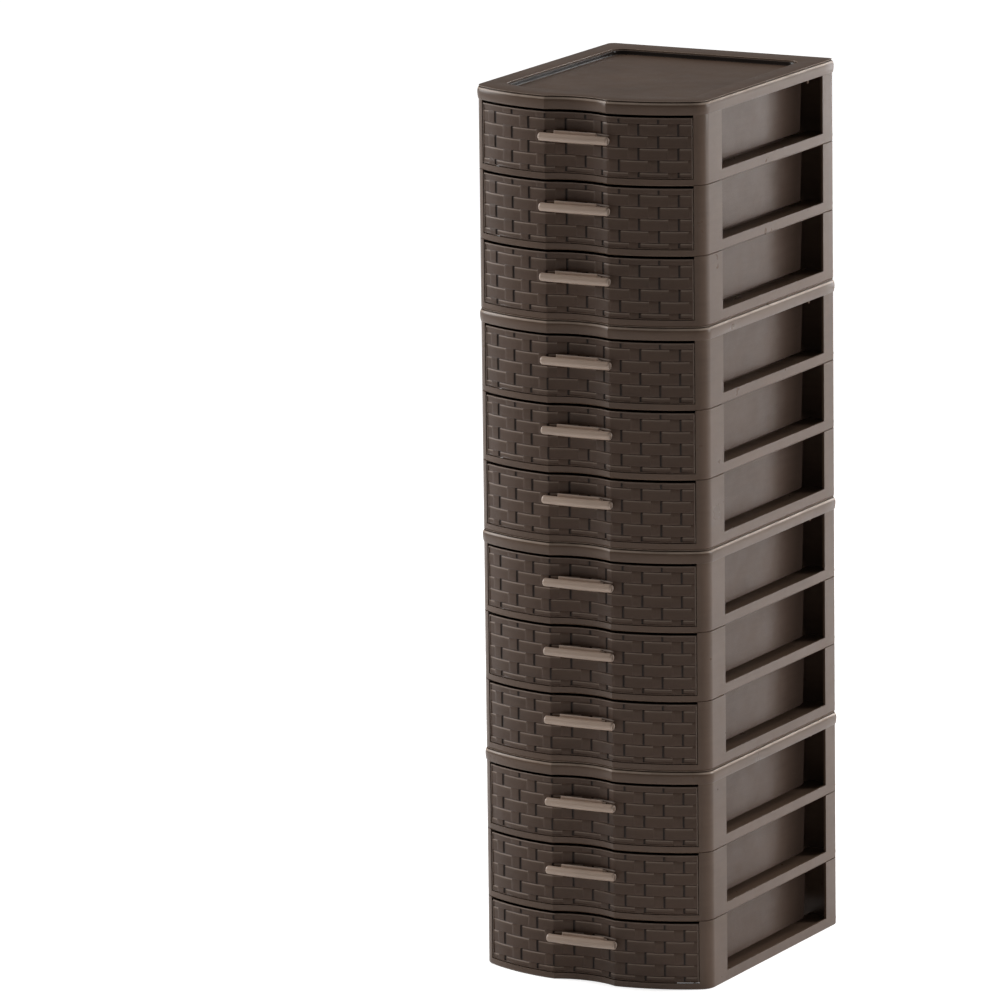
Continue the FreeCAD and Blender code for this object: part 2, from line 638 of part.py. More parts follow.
def make_handle(name):
    """Handle: a bowed octagonal bar, on a web that plugs into the scoop."""
    body = doc.addObject("PartDesign::Body", name)
    half_length = size("handle_length") / 2
    bar_sketch = new_sketch(body, f"{name}_bar_plan", "XY_Plane",
                            size("handle_height") - HANDLE_RADIUS)
    stations = []
    for span in range(HANDLE_SPANS + 1):
        share = 2 * span / HANDLE_SPANS - 1
        stations.append((half_length * share, HANDLE_AXIS_Y + size("handle_bow") * share ** 2))
    front_edge = [(x, y - HANDLE_RADIUS) for x, y in stations]
    back_edge = [(x, y + HANDLE_RADIUS) for x, y in reversed(stations)]
    polygon(bar_sketch, front_edge + back_edge)
    bar = feature(body, "Pad", f"{name}_bar", bar_sketch, size("handle_diameter"))
    # Bevels of this width leave eight equal sides.
    octagon_bevel = HANDLE_RADIUS * (2 - math.sqrt(2))
    chamfer_edges(body, f"{name}_bar_sides", bar, octagon_bevel, runs_along_bar)

    web_sketch = new_sketch(body, f"{name}_web_plan", "XY_Plane", WEB_BOTTOM)
    web_outline(web_sketch)
    feature(body, "Pad", f"{name}_web", web_sketch, size("web_thickness"))
    peg_sketch = new_sketch(body, f"{name}_peg_plan", "XY_Plane", WEB_BOTTOM)
    half_peg = size("peg_width") / 2
    peg_x = size("peg_spacing") / 2
    plate_back = SCOOP_Y + size("scoop_radius") + PLATE_INNER_INSET
    peg_end = plate_back + size("peg_reach")
    rectangle(peg_sketch, peg_x - half_peg, peg_x + half_peg, CREASE_Y, peg_end)
    rectangle(peg_sketch, -peg_x - half_peg, half_peg - peg_x, CREASE_Y, peg_end)
    feature(body, "Pad", f"{name}_pegs", peg_sketch, size("web_thickness"))
    return body


def runs_along_bar(edge):
    """Tells the bar's long edges from the edges of its ends."""
    return edge.BoundBox.XLength > edge.BoundBox.YLength + edge.BoundBox.ZLength


def web_outline(sketch):
    """The web's plan: from inside the bar back to the curved floor of the scoop."""
    half = size("web_width") / 2
    front = HANDLE_AXIS_Y + HANDLE_RADIUS / 2
    seat = size("scoop_radius") + FRAME_INSET - size("web_gap")
    places = []
    for step in range(WEB_CHORDS + 1):
        x = half * (1 - 2 * step / WEB_CHORDS)
        places.append((x, SCOOP_Y + other_leg(seat, x)))
    polygon(sketch, [(-half, front), (half, front), *places])


def clone_body(master, label, lift):
    """A copy of a body that stands higher by a driven length."""
    copy = doc.addObject("PartDesign::Body", label)
    base = doc.addObject("PartDesign::FeatureBase", f"{label}_base")
    copy.Group = [base]
    base.BaseFeature = master
    copy.Tip = base
    copy.setExpression("Placement.Base.z", lift.text)
    return copy


masters = {
    "frame": make_frame("unit_1_lower_frame"),
    "drawer": make_drawer("unit_1_lower_drawer"),
    "handle": make_handle("unit_1_lower_handle"),
}
panel_master = make_panel("unit_1_top_panel")
pieces = [panel_master, *masters.values()]
doc.recompute()
for unit in range(UNITS):
    if unit > 0:
        pieces.append(clone_body(panel_master, f"unit_{unit + 1}_top_panel", UNIT_HEIGHT * unit))
    for level, level_name in enumerate(LEVEL_NAMES):
        lift = UNIT_HEIGHT * unit + size("level_pitch") * level
        for kind, master in masters.items():
            if unit > 0 or level > 0:
                label = f"unit_{unit + 1}_{level_name}_{kind}"
                pieces.append(clone_body(master, label, lift))
doc.recompute()

failed = [item.Name for item in doc.Objects if {"Invalid", "Error"} & set(item.State)]
for piece in pieces:
    shape = piece.Shape
    if shape.isNull() or not shape.isValid() or len(shape.Solids) != 1:
        failed.append(piece.Label)
if failed:
    raise RuntimeError(f"failed objects: {failed}")

os.makedirs("parts", exist_ok=True)
for piece in pieces:
    piece.Shape.exportStep(os.path.join("parts", f"{piece.Label}.step"))
print(f"wrote {len(pieces)} pieces")
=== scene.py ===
import json
import math

import bmesh
import bpy
from mathutils import Matrix, Vector


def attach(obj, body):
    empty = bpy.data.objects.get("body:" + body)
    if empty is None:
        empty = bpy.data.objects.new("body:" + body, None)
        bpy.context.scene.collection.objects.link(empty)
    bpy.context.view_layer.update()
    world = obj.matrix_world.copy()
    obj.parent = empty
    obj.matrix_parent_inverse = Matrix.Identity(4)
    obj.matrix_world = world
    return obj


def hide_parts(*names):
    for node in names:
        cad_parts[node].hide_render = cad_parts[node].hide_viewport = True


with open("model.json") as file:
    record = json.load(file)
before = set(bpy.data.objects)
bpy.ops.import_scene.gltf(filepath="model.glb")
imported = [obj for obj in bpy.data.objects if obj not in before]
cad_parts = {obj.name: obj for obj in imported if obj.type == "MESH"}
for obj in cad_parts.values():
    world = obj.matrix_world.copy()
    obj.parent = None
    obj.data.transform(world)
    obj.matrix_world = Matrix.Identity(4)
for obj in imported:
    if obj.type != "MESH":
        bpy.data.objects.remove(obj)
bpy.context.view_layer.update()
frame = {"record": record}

scene = bpy.context.scene
scene.view_settings.view_transform = "Standard"

# Lengths in millimetres, as in the solids. Meshes are written in metres.
MM = 0.001
UNITS = 4
LEVELS = ("lower", "middle", "upper")
LEVEL_PITCH = 76.5
PANEL_HEIGHT = 15.0
UNIT_HEIGHT = 3 * LEVEL_PITCH + PANEL_HEIGHT

PANEL_HALF = 139.5
FRONT_Y = -172.75
BACK_Y = 182.25
LOBE_RADIUS = 213.0
LOBE_X = 23.0
LOBE_Y = FRONT_Y + LOBE_RADIUS
SCOOP_RADIUS = 84.0
CREASE_X = 37.0
CREASE_Y = LOBE_Y - math.sqrt(LOBE_RADIUS ** 2 - (CREASE_X - LOBE_X) ** 2)
SCOOP_Y = CREASE_Y - math.sqrt(SCOOP_RADIUS ** 2 - CREASE_X ** 2)
CORNER_RADIUS = 20.0
CORNER_X = PANEL_HALF - CORNER_RADIUS
SIDE_START = LOBE_Y - math.sqrt((LOBE_RADIUS - CORNER_RADIUS) ** 2 - (CORNER_X - LOBE_X) ** 2)
BACK_RADIUS = 8.0

FRAME_INSET = 1.5
FRAME_WALL = 2.6
FRAME_HALF = PANEL_HALF - FRAME_INSET
FRAME_INNER = FRAME_HALF - FRAME_WALL
OPENING_HALF = 127.5
WINDOW_FRONT = -96.75
WINDOW_BACK = 150.75
FRONT_RAIL = 7.0
SIDE_RAIL = 12.0
RUNNER_TOP = 8.6
RUNNER_INNER = 103.4
CLEARANCE = 0.3
SAME_PLACE = 0.01

DRAWER_HALF = 126.5
PLATE_LOW = 7.6
PLATE_HIGH = 73.5
PLATE_BACK = 4.2
BIN_LOW = 17.5
BIN_FLOOR = 2.2
BIN_WALL = 2.0
BIN_TOP_HALF = 125.5
BIN_DRAFT = 2.0
BIN_BACK = 150.75
BIN_CORNER = 36.0

TRAY_HALF = 110.5
TRAY_FRONT = FRONT_Y + 36.0
TRAY_BACK = BACK_Y - 37.0
TRAY_BOW = 290.0
TRAY_CORNER = 12.0
TRAY_STEP = 3.5

# How finely the outlines are divided.
SCOOP_STEPS = 14
LOBE_STEPS = 24
CORNER_STEPS = 8
BACK_STEPS = 5
SIDE_STATIONS = (WINDOW_FRONT, -50.0, 0.0, 50.0, 100.0, WINDOW_BACK)
BACK_STATIONS = (0.66, 0.33, 0.0)


def arc_points(centre, radius, start, end, steps):
    """Points along an arc, both ends included."""
    angles = [start + (end - start) * i / steps for i in range(steps + 1)]
    return [(centre[0] + radius * math.cos(a), centre[1] + radius * math.sin(a)) for a in angles]


def mirrored(right):
    """A closed outline from its right half, which starts and ends on the middle plane."""
    return right + [(-x, y) for x, y in reversed(right[1:-1])]


def crease_at(inset):
    """Where the lobe and the scoop meet, when both are offset inwards."""
    lobe = LOBE_RADIUS - inset
    scoop = SCOOP_RADIUS + inset
    rise = LOBE_Y - SCOOP_Y
    gap = math.hypot(LOBE_X, rise)
    along = (gap ** 2 + scoop ** 2 - lobe ** 2) / (2 * gap)
    aside = math.sqrt(scoop ** 2 - along ** 2)
    return (along * LOBE_X + aside * rise) / gap


def front_y(x, inset):
    """The front's curve at this x, offset inwards."""
    x = abs(x)
    if x < crease_at(inset):
        return SCOOP_Y + math.sqrt((SCOOP_RADIUS + inset) ** 2 - x * x)
    return LOBE_Y - math.sqrt((LOBE_RADIUS - inset) ** 2 - (x - LOBE_X) ** 2)


def back_half(half, back, radius, stations=SIDE_STATIONS):
    """Side, back corner and half of the back."""
    points = [(half, y) for y in stations]
    points += arc_points((half - radius, back - radius), radius, 0, math.pi / 2, BACK_STEPS)
    return points + [((half - radius) * share, back) for share in BACK_STATIONS]


def outline(inset):
    """The casing's plan, offset inwards, as a closed run of points."""
    crease = crease_at(inset)
    right = []
    for i in range(SCOOP_STEPS):
        x = crease * i / SCOOP_STEPS
        right.append((x, front_y(x, inset)))
    for i in range(LOBE_STEPS + 1):
        x = crease + (OPENING_HALF - crease) * i / LOBE_STEPS
        right.append((x, LOBE_Y - math.sqrt((LOBE_RADIUS - inset) ** 2 - (x - LOBE_X) ** 2)))
    touch = math.atan2(SIDE_START - LOBE_Y, CORNER_X - LOBE_X)
    right += arc_points((CORNER_X, SIDE_START), CORNER_RADIUS - inset, touch, 0, CORNER_STEPS)
    return mirrored(right + back_half(PANEL_HALF - inset, BACK_Y - inset, BACK_RADIUS - inset / 2))


def tray_outline(grow):
    """The tray's plan, with as many points as the casing's."""
    half = TRAY_HALF + grow
    back = TRAY_BACK + grow
    corner = TRAY_CORNER + grow
    bow = TRAY_BOW + grow
    bow_y = TRAY_FRONT - grow + bow
    centre_x = half - corner
    rise = math.sqrt((bow - corner) ** 2 - centre_x ** 2)
    touch = math.atan2(-rise, centre_x)
    touch_x = bow * math.cos(touch)
    count = SCOOP_STEPS + LOBE_STEPS + 1
    right = []
    for i in range(count):
        x = touch_x * i / count
        right.append((x, bow_y - math.sqrt(bow ** 2 - x * x)))
    side_y = bow_y - rise
    right += arc_points((centre_x, side_y), corner, touch, 0, CORNER_STEPS)
    count = len(SIDE_STATIONS) + 1
    stations = [side_y + (back - corner - side_y) * i / count for i in range(1, count)]
    return mirrored(right + back_half(half, back, corner, stations))


def write_mesh(name, points, faces):
    """A mesh in metres from points in millimetres, with its normals pointing out."""
    mesh = bpy.data.meshes.new(name)
    mesh.from_pydata([(x * MM, y * MM, z * MM) for x, y, z in points], [], faces)
    shape = bmesh.new()
    shape.from_mesh(mesh)
    bmesh.ops.recalc_face_normals(shape, faces=shape.faces)
    shape.to_mesh(mesh)
    shape.free()
    return mesh


def set_points(mesh, name, values):
    attribute = mesh.attributes.new(name, "FLOAT", "POINT")
    attribute.data.foreach_set("value", values)


NARROW_SHARE = 0.7
BEVEL_ANGLE = math.radians(50)
BEVEL_SEGMENTS = 3


def mark_edges(mesh, bevel):
    """Marks the points inside the rounded edges, painted lighter: wear and a painted highlight."""
    widest = NARROW_SHARE * bevel * MM
    shape = bmesh.new()
    shape.from_mesh(mesh)
    narrow = {face for face in shape.faces if len(face.verts) <= 4
              and min(edge.calc_length() for edge in face.edges) < widest}
    marks = [1.0 if all(face in narrow for face in point.link_faces) else 0.0
             for point in shape.verts]
    shape.free()
    set_points(mesh, "edge", marks)


def finished(mesh, bevel=0.0, sharp=25.0):
    """Rounds the hard edges, smooths the rest and returns the finished mesh."""
    mesh.shade_smooth()
    mesh.set_sharp_from_angle(angle=math.radians(sharp))
    draft = bpy.data.objects.new("draft", mesh)
    scene.collection.objects.link(draft)
    if bevel:
        rounding = draft.modifiers.new("rounding", "BEVEL")
        rounding.width = bevel * MM
        rounding.segments = BEVEL_SEGMENTS
        rounding.limit_method = "ANGLE"
        rounding.angle_limit = BEVEL_ANGLE
        rounding.use_clamp_overlap = True
        normals = draft.modifiers.new("normals", "WEIGHTED_NORMAL")
        normals.keep_sharp = True
    graph = bpy.context.evaluated_depsgraph_get()
    result = bpy.data.meshes.new_from_object(
        draft.evaluated_get(graph), preserve_all_data_layers=True, depsgraph=graph)
    result.name = mesh.name
    bpy.data.objects.remove(draft)
    if bevel:
        mark_edges(result, bevel)
    return result


class Parts:
    """Points and faces of several closed shells that make one piece."""

    def __init__(self):
        self.points = []
        self.faces = []

    def add(self, points, faces):
        start = len(self.points)
        self.points += points
        self.faces += [tuple(start + i for i in face) for face in faces]

    def prism(self, plan, low, high):
        """A straight-sided shell over a plan."""
        count = len(plan)
        points = [(x, y, low) for x, y in plan] + [(x, y, high) for x, y in plan]
        faces = [tuple(reversed(range(count))), tuple(range(count, 2 * count))]
        for i in range(count):
            j = (i + 1) % count
            faces.append((i, j, count + j, count + i))
        self.add(points, faces)

    def block(self, x0, x1, y0, y1, z0, z1):
        self.prism([(x0, y0), (x1, y0), (x1, y1), (x0, y1)], z0, z1)

    def rings(self, rings):
        """A skin through closed rings of equally many points, with a face over each end."""
        count = len(rings[0])
        points = [point for ring in rings for point in ring]
        faces = []
        for k in range(len(rings) - 1):
            for i in range(count):
                j = (i + 1) % count
                low, high = k * count, (k + 1) * count
                faces.append((low + i, low + j, high + j, high + i))
        last = (len(rings) - 1) * count
        faces.append(tuple(reversed(range(count))))
        faces.append(tuple(range(last, last + count)))
        self.add(points, faces)


def at_height(plan, z):
    return [(x, y, z) for x, y in plan]


# Frame: posts and rails cut from one wall, two runners, four tongues and the lip behind
# the front rail. The seam is a chamfer at the foot of the wall.
SEAM_HEIGHT = 1.2
SEAM_DEPTH = 1.0
LIP_NEAR = 4.9
LIP_FAR = 6.3
LIP_LOW = 1.0
LIP_HIGH = 10.0
LIP_REACH = 103.2
LIP_STEPS = 12
TAB_X = (124.2, 125.8)
TAB_Y = (137.0, 141.0)
TAB_LENGTH = 7.5
TONGUES = ((-114.75, -102.75), (156.75, 168.75))
TONGUE_WALL = 2.0
TONGUE_FOOT = 8.0
TONGUE_RISE = 5.0


def frame_wall(parts):
    """The wall between two outlines, without its drawer opening and its side windows."""
    outer = outline(FRAME_INSET)
    inner = outline(FRAME_INSET + FRAME_WALL)
    heights = (0.0, SEAM_HEIGHT, FRONT_RAIL, SIDE_RAIL, LEVEL_PITCH)
    count = len(outer)
    points = at_height(outline(FRAME_INSET + SEAM_DEPTH), heights[0])
    for z in heights[1:]:
        points += at_height(outer, z)
    for z in heights:
        points += at_height(inner, z)
    layers = len(heights)

    def kept(i, k):
        """Whether the wall stands at outline step i, between heights k and k + 1."""
        if k < 0 or k >= layers - 1:
            return False
        (x0, y0), (x1, y1) = outer[i], outer[(i + 1) % count]
        x, y = (x0 + x1) / 2, (y0 + y1) / 2
        if y < SIDE_START and abs(x) < OPENING_HALF:
            return heights[k + 1] <= FRONT_RAIL
        if abs(x) > FRAME_HALF - SAME_PLACE and WINDOW_FRONT < y < WINDOW_BACK:
            return heights[k + 1] <= SIDE_RAIL
        return True

    faces = []
    for i in range(count):
        j = (i + 1) % count
        for k in range(layers - 1):
            if not kept(i, k):
                continue
            a, b = k * count + i, k * count + j
            c, d = (k + 1) * count + j, (k + 1) * count + i
            back = layers * count
            faces.append((a, b, c, d))
            faces.append((back + d, back + c, back + b, back + a))
            edges = (((a, b), kept(i, k - 1)), ((c, d), kept(i, k + 1)),
                     ((b, c), kept(j, k)), ((d, a), kept((i - 1) % count, k)))
            for (start, end), covered in edges:
                if not covered:
                    faces.append((end, start, back + start, back + end))
    used = sorted({i for face in faces for i in face})
    number = {old: new for new, old in enumerate(used)}
    parts.add([points[i] for i in used], [tuple(number[i] for i in face) for face in faces])


def make_frame():
    parts = Parts()
    frame_wall(parts)
    back = BACK_Y - FRAME_INSET - FRAME_WALL
    front = front_y(DRAWER_HALF, PLATE_BACK) + CLEARANCE
    outer = FRAME_INNER + FRAME_WALL / 2
    plan = [(RUNNER_INNER, back), (RUNNER_INNER, front), (CORNER_X, front),
            (outer, SIDE_START), (outer, back)]
    parts.prism(plan, RUNNER_TOP - FRAME_WALL, RUNNER_TOP)
    parts.prism([(-x, y) for x, y in reversed(plan)], RUNNER_TOP - FRAME_WALL, RUNNER_TOP)
    for low, high in TONGUES:
        for side in (-1, 1):
            xs = sorted((side * (FRAME_INNER - TONGUE_WALL), side * FRAME_INNER))
            parts.block(*xs, low, high, LEVEL_PITCH - TONGUE_FOOT, LEVEL_PITCH + TONGUE_RISE)
    steps = [LIP_REACH * (i / LIP_STEPS - 1) for i in range(2 * LIP_STEPS + 1)]
    lip = [(x, front_y(x, LIP_NEAR)) for x in steps]
    lip += [(x, front_y(x, LIP_FAR)) for x in reversed(steps)]
    parts.prism(lip, LIP_LOW, LIP_HIGH)
    return finished(write_mesh("frame_shell", parts.points, parts.faces), bevel=0.8)


# Top panel: band with a rounded face, a fine groove, the rim and the stepped tray. BAND
# holds insets from the casing's outline and heights, TRAY growths of the tray's outline and
# heights, both from the bottom to the top or inwards.
BAND = ((1.9, 0.0), (1.45, 0.0), (1.1, 0.25), (0.85, 0.9), (0.6, 2.0), (0.36, 3.5),
        (0.15, 5.2), (0.02, 7.2), (0.06, 9.0), (0.3, 10.6), (0.75, 11.9), (1.25, 12.75),
        (1.7, 13.2), (3.7, 13.2), (3.7, 14.5), (1.9, 14.5), (1.7, 14.65), (1.75, 14.85),
        (2.1, 15.0))
TRAY = ((TRAY_STEP + 0.7, 15.0), (TRAY_STEP + 0.2, 14.85), (TRAY_STEP, 14.5),
        (TRAY_STEP, 13.85), (TRAY_STEP - 0.25, 13.6), (0.7, 13.6), (0.2, 13.4), (0.0, 12.9),
        (0.0, 10.2), (-0.4, 9.4), (-1.2, 9.0), (-6.0, 9.0))
# Band and tray rings painted lighter at the edges: partly wear, partly a painted highlight.
RUBBED_AND_LIT_BAND = (10, 11, 16, 17)
RUBBED_AND_LIT_TRAY = (1,)
# Tray rings in the recess, painted dark as shade.
SHADED_TRAY = (4, 6, 7, 8, 9)
CHANNEL = 5.7
UNDERSIDE = 6.8
CEILING = 12.8
PANEL_DRAFT = 0.4


def make_panel():
    rings = [at_height(tray_outline(grow), z) for grow, z in reversed(TRAY)]
    rings += [at_height(outline(inset), z) for inset, z in reversed(BAND)]
    rings.append(at_height(outline(FRAME_WALL), 0.0))
    rings.append(at_height(outline(FRAME_WALL + PANEL_DRAFT), CEILING))
    rings.append(at_height(tray_outline(CHANNEL), CEILING))
    rings.append(at_height(tray_outline(CHANNEL), UNDERSIDE))
    # Edge marks: partly wear, partly a painted highlight.
    rubbed_and_lit = [i in RUBBED_AND_LIT_TRAY for i in reversed(range(len(TRAY)))]
    rubbed_and_lit += [i in RUBBED_AND_LIT_BAND for i in reversed(range(len(BAND)))]
    parts = Parts()
    parts.rings(rings)
    for side in (-1, 1):
        xs = sorted(side * x for x in TAB_X)
        parts.block(*xs, *TAB_Y, -TAB_LENGTH, CEILING)
    mesh = write_mesh("panel_shell", parts.points, parts.faces)
    count = len(rings[0])
    marks = [float(mark) for mark in rubbed_and_lit for _ in range(count)]
    # Painted shade at the foot of the tray's step and on its inner wall, in the recess.
    shade_mask = [-float(i in SHADED_TRAY) for i in reversed(range(len(TRAY))) for _ in range(count)]
    set_points(mesh, "edge", marks + [0.0] * (len(parts.points) - len(marks)))
    set_points(mesh, "tone", shade_mask + [0.0] * (len(parts.points) - len(shade_mask)))
    return finished(mesh)


# Woven front: rows of slats that pass over upright strips, with a plain border.
FACE_INSET = 1.9
WEAVE_ROW = 13.1
WEAVE_TOP = PLATE_HIGH - 6.75
WEAVE_DEPTH = 1.3
# Arc lengths from the middle of the scoop to the strips' right edges.
WEAVE_LINES = (-157.0, -133.4, -110.9, -84.3, -61.0, -39.3, -16.4, 6.5, 29.4, 51.5, 73.5,
               95.1, 116.7, 138.5)
FIRST_LINE = -7
COLUMN_SHARES = (0.012, 0.045, 0.12, 0.25, 0.38, 0.46, 0.485, 0.515, 0.54, 0.62, 0.75,
                 0.88, 0.955, 0.988)
ROW_OFFSETS = (0.0, 0.3, 0.7, 1.15, 2.2, 4.4, 6.55, 8.7, 10.9, 12.0, 12.55, 12.85)
# Stretches along the weave, in columns from a slat's left end. A slat and the strip that it
# dips under take two columns together.
SLAT_END = 1.5
PERIOD = 2
SLAT_CLIMB = 1.1
SLAT_RISE = (-0.01, 0.03)
SLAT_DIP = (1.15, SLAT_END)
SLAT_SHADE = (0.03, 0.1)
SLAT_SHINE = (0.06, 0.12)
STRIP_SHOULDER = (1.495, 1.53)
STRIP_GROOVE = (1.985, 2.004)
STRIP_SHADE = (1.97, 1.99)
# Stretches down from a row's top edge or up from its foot.
SLAT_TOP = (-0.1, 1.2)
SLAT_FOOT = (0.0, 0.5)
SLAT_HIGHLIGHT = (0.0, 2.3)
STRIP_TOP = (0.0, 2.4)
STRIP_FOOT = (0.0, 1.8)
STRIP_FOOT_SHADE = (0.0, 0.9)
BORDER = 1.3
BORDER_FALL = 0.35
WEAVE_MARGIN = 0.5
# The plate's painted highlight along its top edge and ends fades out over this stretch.
RIM_FADE = (0.3, 1.0)
EDGE_ROUNDING = 0.7
EDGE_STATIONS = (0.0, 0.12, 0.4, EDGE_ROUNDING, BORDER, BORDER + BORDER_FALL)
LEAST_STEP = 0.08


def between(low, high, value):
    """Smooth step from 0 at low to 1 at high."""
    share = min(1.0, max(0.0, (value - low) / (high - low)))
    return share * share * (3 - 2 * share)


def column_at(arc):
    """Counts columns along the front: whole numbers at the strips' right edges."""
    for i in range(len(WEAVE_LINES) - 1):
        low, high = WEAVE_LINES[i], WEAVE_LINES[i + 1]
        if arc <= high:
            return FIRST_LINE + i + (arc - low) / (high - low)
    return FIRST_LINE + len(WEAVE_LINES) - 1


def hill(low, high, value):
    """1 half way between low and high, falling to 0 at both."""
    return max(0.0, 1 - abs(2 * value - low - high) / (high - low))


def slat_at(phase, down, up):
    """Height and tone on a slat, which rises from one strip and dips under the next."""
    crown = 0.4 + 0.72 * math.sin(math.pi / 2 * min(1.0, phase / SLAT_CLIMB))
    crown -= 0.22 * between(*SLAT_DIP, phase)
    crown *= 0.25 + 0.75 * between(*SLAT_RISE, phase)
    crown *= between(*SLAT_TOP, down) * (0.45 + 0.55 * between(*SLAT_FOOT, up))
    # Painted highlight along the slat's top edge; painted shade at its left end and foot.
    tone = hill(*SLAT_HIGHLIGHT, down) * between(*SLAT_SHINE, phase)
    tone -= 1 - between(*SLAT_SHADE, phase)
    tone -= 0.6 * (1 - between(*SLAT_FOOT, up))
    return crown, tone


def strip_at(phase, down, up):
    """Height and tone on an upright strip, with a groove along its right edge in painted shade."""
    crown = 1.22 + 0.06 * math.sin(math.pi * (phase - SLAT_END) / (PERIOD - SLAT_END))
    crown -= 0.35 * (1 - between(*STRIP_SHOULDER, phase))
    crown -= 0.45 * between(*STRIP_GROOVE, phase)
    crown *= 0.72 + 0.28 * between(*STRIP_TOP, down)
    crown *= 0.6 + 0.4 * between(*STRIP_FOOT, up)
    # Painted shade in the groove along the right edge and at the strip's foot.
    tone = -0.8 * between(*STRIP_SHADE, phase)
    tone -= 0.3 * (1 - between(*STRIP_FOOT_SHADE, up))
    return crown, tone


def weave_at(arc, z):
    """Height over the weave's ground, 1 on strips or 0 on slats, and the tone of painted light."""
    row = math.floor((WEAVE_TOP - z) / WEAVE_ROW)
    down = WEAVE_TOP - z - row * WEAVE_ROW
    phase = (column_at(arc) - (row + 1) % 2) % PERIOD
    up = WEAVE_ROW - down
    if phase < SLAT_END:
        crown, tone = slat_at(phase, down, up)
        return crown, 0.0, tone
    crown, tone = strip_at(phase, down, up)
    return crown, 1.0, tone


def front_frame(arc, inset):
    """Point and outward normal of the front at this arc length from the middle."""
    side = 1 if arc >= 0 else -1
    scoop = SCOOP_RADIUS + inset
    lobe = LOBE_RADIUS - inset
    crease = crease_at(inset)
    turn = math.asin(crease / scoop)
    run = abs(arc)
    if run < scoop * turn:
        a = run / scoop
        point = (scoop * math.sin(a), SCOOP_Y + scoop * math.cos(a))
        normal = (-math.sin(a), -math.cos(a))
    else:
        a = math.asin((crease - LOBE_X) / lobe) + (run - scoop * turn) / lobe
        point = (LOBE_X + lobe * math.sin(a), LOBE_Y - lobe * math.cos(a))
        normal = (math.sin(a), -math.cos(a))
    return (side * point[0], point[1]), (side * normal[0], normal[1])


def front_reach(inset):
    """Arc length from the middle to the end of the plate."""
    scoop = SCOOP_RADIUS + inset
    lobe = LOBE_RADIUS - inset
    crease = crease_at(inset)
    start = math.asin((crease - LOBE_X) / lobe)
    end = math.asin((DRAWER_HALF - LOBE_X) / lobe)
    return scoop * math.asin(crease / scoop) + lobe * (end - start)


def spaced(values, least):
    """Sorted values without those that nearly coincide."""
    kept = []
    for value in sorted(values):
        if not kept or value - kept[-1] > least:
            kept.append(value)
    return kept


def edge_drop(distance):
    """How far the plate's rounded edge falls back at this distance from its end."""
    if distance >= EDGE_ROUNDING:
        return 0.0
    return EDGE_ROUNDING - math.sqrt(EDGE_ROUNDING ** 2 - (EDGE_ROUNDING - distance) ** 2)


def plate_columns(reach):
    """Arc lengths of the plate's upright lines of points."""
    columns = [reach - d for d in EDGE_STATIONS] + [d - reach for d in EDGE_STATIONS]
    for low, high in zip(WEAVE_LINES, WEAVE_LINES[1:]):
        for share in COLUMN_SHARES:
            arc = low + (high - low) * share
            if abs(arc) < reach - BORDER - WEAVE_MARGIN:
                columns.append(arc)
    return spaced(columns, LEAST_STEP)


def plate_rows():
    """Heights of the plate's level lines of points."""
    rows = [PLATE_HIGH - d for d in EDGE_STATIONS] + [PLATE_LOW + d for d in EDGE_STATIONS]
    for k in range(-1, math.ceil((WEAVE_TOP - PLATE_LOW) / WEAVE_ROW)):
        for offset in ROW_OFFSETS:
            z = WEAVE_TOP - k * WEAVE_ROW - offset
            if PLATE_LOW + BORDER + WEAVE_MARGIN < z < PLATE_HIGH - BORDER - WEAVE_MARGIN:
                rows.append(z)
    return spaced(rows, LEAST_STEP)


def make_plate(parts):
    """The woven plate as a closed shell; returns its points' strip marks and painted light tones.
    """
    reach = front_reach(FACE_INSET)
    columns = plate_columns(reach)
    rows = plate_rows()
    points = []
    marks = []
    tones = []
    for z in rows:
        for arc in columns:
            point, normal = front_frame(arc, FACE_INSET)
            inside = min(reach - abs(arc), z - PLATE_LOW, PLATE_HIGH - z)
            height, mark, tone = weave_at(arc, z)
            share = between(BORDER, BORDER + BORDER_FALL, inside)
            depth = share * (WEAVE_DEPTH - height)
            depth += edge_drop(reach - abs(arc))
            depth += edge_drop(min(z - PLATE_LOW, PLATE_HIGH - z))
            points.append((point[0] - normal[0] * depth, point[1] - normal[1] * depth, z))
            marks.append(mark)
            # Painted highlight along the plate's top edge and both ends.
            rim_highlight = 1 - between(*RIM_FADE, min(reach - abs(arc), PLATE_HIGH - z))
            tones.append(share * tone + rim_highlight)
    wide, high = len(columns), len(rows)
    faces = []
    for k in range(high - 1):
        for i in range(wide - 1):
            a = k * wide + i
            faces.append((a, a + 1, a + wide + 1, a + wide))
    base = len(points)
    for z in (PLATE_LOW, PLATE_HIGH):
        for arc in columns:
            x = math.copysign(min(abs(front_frame(arc, FACE_INSET)[0][0]), DRAWER_HALF), arc)
            points.append((x, front_y(x, PLATE_BACK), z))
            marks.append(0.0)
            tones.append(0.0)
    top = base + wide
    for i in range(wide - 1):
        faces.append((base + i + 1, base + i, top + i, top + i + 1))
        faces.append((i + 1, i, base + i, base + i + 1))
        last = (high - 1) * wide
        faces.append((last + i, last + i + 1, top + i + 1, top + i))
    faces.append((*[k * wide for k in reversed(range(high))], base, top))
    faces.append((*[k * wide + wide - 1 for k in range(high)], top + wide - 1, base + wide - 1))
    parts.add(points, faces)
    return marks, tones


# Bin: its walls and floor run a little way into the plate.
WALL_OVERLAP = 0.6
FLOOR_OVERLAP = 0.5
FLOOR_STEPS = 20
BIN_STATIONS = (-60.0, 20.0)
BIN_CORNER_STEPS = 16
SKID = (104.5, 107.5)
SKID_GAP = 0.2
SKID_OVERLAP = 1.0
LUG_Y = (78.75, 90.75)
LUG_Z = (PLATE_HIGH - 4, PLATE_HIGH + 6)


